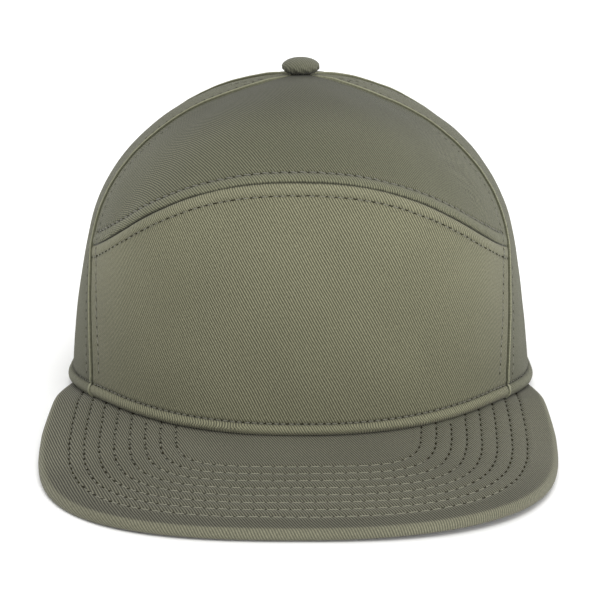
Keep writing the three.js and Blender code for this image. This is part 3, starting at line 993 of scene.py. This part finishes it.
def washed_cotton_twill(name, code, pale_code, contrast, turn=0.0):
    """Cotton twill, piece dyed and washed: steep diagonal ribs with painted highlights, darker painted
    valleys between them, faint cloudy fading, paler cloth where it rubs with a painted highlight on fold
    crests, painted shadow in seams and stitch rows, and painted light and shade over each panel."""
    material, tree = new_material(name)
    weave = add(tree, "UVMap", uv_map="weave")
    wander = add(tree, "TexNoise", {"Vector": weave}, {"Scale": DRIFT_SCALE, "Detail": 2.0}).outputs["Color"]
    drift = add(tree, "VectorMath", {0: wander}, {1: (0.5, 0.5, 0.5)}, operation="SUBTRACT")
    drift = add(tree, "VectorMath", {0: drift}, {"Scale": 0.9}, operation="SCALE")
    laid = add(tree, "VectorMath", {0: weave, 1: drift}, operation="ADD")
    angle = math.radians(WALE_ANGLE + turn)
    turned = add(tree, "Mapping", {"Vector": laid}, {"Rotation": (0, 0, angle)})
    axes = add(tree, "SeparateXYZ", {0: turned})
    ribs = sine_of(tree, axes.outputs["Y"], WALE_PITCH)
    yarns = sine_of(tree, axes.outputs["X"], FLOAT_PITCH)
    slub = add(tree, "TexNoise", {"Vector": turned}, {"Scale": SLUB_SCALE, "Detail": 3.0, "Roughness": 0.6})
    fleck = add(tree, "TexNoise", {"Vector": weave}, {"Scale": FLECK_SCALE, "Detail": 3.0})
    cloud = add(tree, "TexNoise", {"Vector": weave}, {"Scale": CLOUD_SCALE, "Detail": 3.0})
    crossed = add(tree, "Math", {0: ribs, 1: yarns}, operation="MULTIPLY")
    height = add(tree, "Math", {0: crossed, 2: ribs}, {1: 0.35}, operation="MULTIPLY_ADD")
    height = add(tree, "Math", {0: slub, 2: height}, {1: 0.6}, operation="MULTIPLY_ADD")
    # painted highlights on the ribs and painted shade in the valleys, varied by the yarns' slubs
    tone = add(tree, "MapRange", {0: height},
               {1: 0.25, 2: 1.35, 3: 1 - contrast, 4: 1 + contrast}, clamp=False)
    speck = add(tree, "MapRange", {0: fleck}, {1: 0.3, 2: 0.7, 3: 0.88, 4: 1.12})
    fade = add(tree, "MapRange", {0: cloud}, {1: 0.35, 2: 0.65, 3: 0.96, 4: 1.04})
    rub_and_highlight, gap, groove, painted_light_and_shade = (
        add(tree, "Attribute", attribute_name=key).outputs["Fac"]
        for key in ("rub_and_highlight", "seam_distance", "groove", "painted_light_and_shade")
    )
    # painted shade in the seams' ditches, made ragged by the flecks
    ragged = add(tree, "Math", {0: fleck, 2: gap}, {1: 0.5}, operation="MULTIPLY_ADD")
    seam = add(tree, "MapRange", {0: ragged}, {1: 0.7, 2: 1.05, 3: 0.32, 4: 1.0})
    # painted shade in stitch grooves and round the button's base
    shadow = add(tree, "MapRange", {0: groove}, {1: 0.0, 2: 1.0, 3: 1.0, 4: 0.2})
    # paler colour and flatter ribs where the cloth is rubbed, and as a painted highlight on fold crests
    flat = add(tree, "Mix", {0: rub_and_highlight, 2: tone}, {3: 1.0}, data_type="FLOAT")
    colours = {6: linear(code), 7: linear(pale_code)}
    cloth = add(tree, "Mix", {0: rub_and_highlight}, colours, data_type="RGBA").outputs[2]
    # the last factor is painted light and shade over each panel
    for factor in (flat, speck, fade, seam, shadow, painted_light_and_shade):
        cloth = add(tree, "VectorMath", {0: cloth, "Scale": factor}, operation="SCALE")
    bump = add(tree, "Bump", {"Height": height}, {"Strength": 0.7, "Distance": 0.00014})
    shader = add(tree, "BsdfPrincipled", {"Base Color": cloth, "Normal": bump},
                 {"Roughness": 0.9, "IOR": 1.45, "Specular IOR Level": 0.2, "Sheen Weight": 0.08,
                  "Sheen Roughness": 0.5})
    add(tree, "OutputMaterial", {0: shader})
    return material


def wavering(name, colour, noise, tones, finish):
    """A finish whose colour wavers between two tones, with a noise that is scaled in waves per metre."""
    material, tree = new_material(name)
    place = add(tree, "TexCoord").outputs["Object"]
    grain = add(tree, "TexNoise", {"Vector": place}, noise)
    tone = add(tree, "MapRange", {0: grain}, tones)
    base = add(tree, "VectorMath", {"Scale": tone}, {0: colour}, operation="SCALE")
    shader = add(tree, "BsdfPrincipled", {"Base Color": base}, finish)
    add(tree, "OutputMaterial", {0: shader})
    return material


def spun_thread(name, code):
    """Spun polyester sewing thread: a little glossier than the cotton round it, with twisted plies."""
    return wavering(name, linear(code)[:3], {"Scale": 2600.0, "Detail": 2.0},
                    {1: 0.3, 2: 0.7, 3: 0.8, 4: 1.2},
                    {"Roughness": 0.6, "Specular IOR Level": 0.4, "Sheen Weight": 0.1})


def needle_hole(name, code):
    """The shadow in a needle hole, where the thread goes down."""
    return wavering(name, linear(code)[:3], {"Scale": 900.0}, {3: 0.7, 4: 1.3},
                    {"Roughness": 1.0, "Specular IOR Level": 0.0})


def painted_floor(name):
    """Matt white painted board with a barely visible grain."""
    return wavering(name, (1.0, 1.0, 0.995), {"Scale": 60.0, "Detail": 3.0}, {3: 0.93, 4: 0.96},
                    {"Roughness": 0.9})


def place_piece(piece, materials, slot, *nodes):
    piece.data.materials.clear()
    for material in materials:
        piece.data.materials.append(material)
    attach(piece, "root")
    if nodes:
        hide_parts(*nodes)


# Assembly

# The lower front's twill is a lighter copy of the crown's: painted light on the wall that faces the lamps.
FRONT_TWILL_LIT = washed_cotton_twill("washed_cotton_twill_front", "#5e5d4b", "#7f7e6a", 0.6)
CROWN_TWILL = washed_cotton_twill("washed_cotton_twill_crown", "#505040", "#7c7c67", 0.66)
BRIM_TWILL = washed_cotton_twill("washed_cotton_twill_brim", "#504f42", "#656454", 0.82, turn=5.5)
BUTTON_TWILL = washed_cotton_twill("washed_cotton_twill_button", "#58584a", "#6b6c5f", 0.25)
BAND_TWILL = washed_cotton_twill("cotton_band_twill", "#4c4b41", "#58584c", 0.35, turn=-61.0)
THREAD = spun_thread("spun_polyester_thread", "#66655a")
# The brim's thread is a lighter copy of the crown's thread: painted highlight.
BRIM_THREAD_HIGHLIGHTED = spun_thread("spun_polyester_thread_brim_highlighted", "#7f7e6d")
HOLE_SHADOW = needle_hole("needle_hole_shadow", "#2b2920")

lower_front, upper_front = front_panels()
left_side, right_side = side_panel("left"), side_panel("right")
left_back, right_back = back_panel("left"), back_panel("right")
brim = brim_piece()
button = button_piece()
band_end, strap_end = SWEATBAND["end_angle"], STRAP["end_angle"]
band = inner_band("sweatband_cloth", SWEATBAND, -band_end, band_end, 3.0)
strap = inner_band("closure_strap_cloth", STRAP, strap_end, 2 * CENTRE_BACK_ANGLE - strap_end, 2.2)

for piece, twill, slot, node in (
    (lower_front, FRONT_TWILL_LIT, "front_twill", "lower_front_panel"),
    (upper_front, CROWN_TWILL, "crown_twill", "upper_front_panel"),
    (left_side, CROWN_TWILL, "crown_twill", "left_side_panel"),
    (right_side, CROWN_TWILL, "crown_twill", "right_side_panel"),
    (left_back, CROWN_TWILL, "crown_twill", "left_back_panel"),
    (right_back, CROWN_TWILL, "crown_twill", "right_back_panel"),
    (brim, BRIM_TWILL, "brim_twill", "brim"),
    (button, BUTTON_TWILL, "button_twill", "top_button"),
    (band, BAND_TWILL, "band_cloth", "sweatband"),
    (strap, BAND_TWILL, "band_cloth", "closure_strap"),
):
    place_piece(piece, [twill], slot, node)


def sewings():
    crown = [lower_front, upper_front, left_side, right_side, left_back, right_back]
    arch = Sewing("arched_seam_stitches", [lower_front, upper_front])
    arch.row(ROWS["arch_below"], thread=0.17, up=-0.1, hole=(1.15, 0.25))
    arch.row(ROWS["arch_above"], thread=0.23, up=0.1, hole=(0.5, 0.28), slant=-0.2)
    seams = Sewing("panel_seam_stitches", crown)
    for row in SEAM_ROWS.values():
        seams.row(row, thread=0.2, up=0.03, hole=(0.65, 0.26))
    opening = Sewing("opening_stitches", [left_back, right_back])
    for side, _ in SIDES:
        opening.row(ROWS[side + "_opening"], thread=0.2, up=0.0, hole=(0.45, 0.25))
    hem = Sewing("hem_stitches", crown)
    hem.row(ROWS["hem"], thread=0.17, up=-0.06, hole=(0.7, 0.27))
    quilted = Sewing("brim_stitches", [brim])
    for row in BRIM_LINES:
        quilted.row(row, thread=0.15, up=0.01, hole=(0.85, 0.4), on_brim=True)
    return [arch, seams, opening, hem, quilted]


for sewing in sewings():
    stitches, kinds = sewing.finish()
    thread, slot = (BRIM_THREAD_HIGHLIGHTED, "brim_twill") if sewing.name == "brim_stitches" else (THREAD, "crown_twill")
    place_piece(stitches, [thread, HOLE_SHADOW], slot)
    stitches.data.polygons.foreach_set("material_index", kinds)

# Floor, light and camera

deselect()
bpy.ops.mesh.primitive_plane_add(size=12.0)
floor = bpy.context.object
floor.name = "floor"
floor.data.materials.append(painted_floor("matt_white_floor"))

world = bpy.data.worlds.new("studio")
world.use_nodes = True
background = world.node_tree.nodes["Background"]
background.inputs["Color"].default_value = (1.0, 1.0, 1.0, 1.0)
background.inputs["Strength"].default_value = 0.85
bpy.context.scene.world = world
bpy.context.scene.view_settings.view_transform = "Standard"


def aim(thing, target, round_by, up_by, distance):
    """Puts a light or the camera round from the front towards the wearer's left, and up, in degrees, at
    a distance in metres, and turns it to its target."""
    turn, rise = math.radians(round_by), math.radians(up_by)
    way = Vector((math.cos(rise) * math.sin(turn), -math.cos(rise) * math.cos(turn), math.sin(rise)))
    thing.location = Vector(target) + way * distance
    thing.rotation_euler = way.to_track_quat("Z", "Y").to_euler()


def softbox(name, round_by, up_by, distance, width, power):
    light = bpy.data.lights.new(name, "AREA")
    light.shape = "SQUARE"
    light.size = width
    light.energy = power
    aim(new_object(name, light), LIGHT_TARGET, round_by, up_by, distance)


LIGHT_TARGET = (0.0, 0.0, 0.06)
softbox("overhead_softbox", 6.0, 55.0, 2.4, 1.4, 27.0)
softbox("low_front_softbox", 18.0, 12.0, 2.4, 1.0, 11.5)
softbox("low_side_softbox", 52.0, 12.0, 2.4, 1.2, 17.5)
softbox("low_rim_softbox", -125.0, 20.0, 2.6, 1.4, 12.0)
softbox("back_softbox", 165.0, 40.0, 2.6, 1.6, 14.0)

CAMERA_ELEVATION = 17.5
CAMERA_TURN = 0.5
CAMERA_DISTANCE = 1300.0
CAMERA_TARGET = (0.0, -10.0, 34.94)
CAMERA_PIXELS = 3445.0           # focal length
CAMERA_SHIFT_PIXELS = -0.5
PICTURE_PIXELS = 600
SENSOR_WIDTH = 36.0

camera = bpy.data.cameras.new("camera")
camera.sensor_width = SENSOR_WIDTH
camera.lens = CAMERA_PIXELS / PICTURE_PIXELS * SENSOR_WIDTH
camera.shift_x = CAMERA_SHIFT_PIXELS / PICTURE_PIXELS
viewer = new_object("camera", camera)
aim(viewer, to_frame(CAMERA_TARGET), CAMERA_TURN, CAMERA_ELEVATION, CAMERA_DISTANCE * MM)
bpy.context.scene.camera = viewer
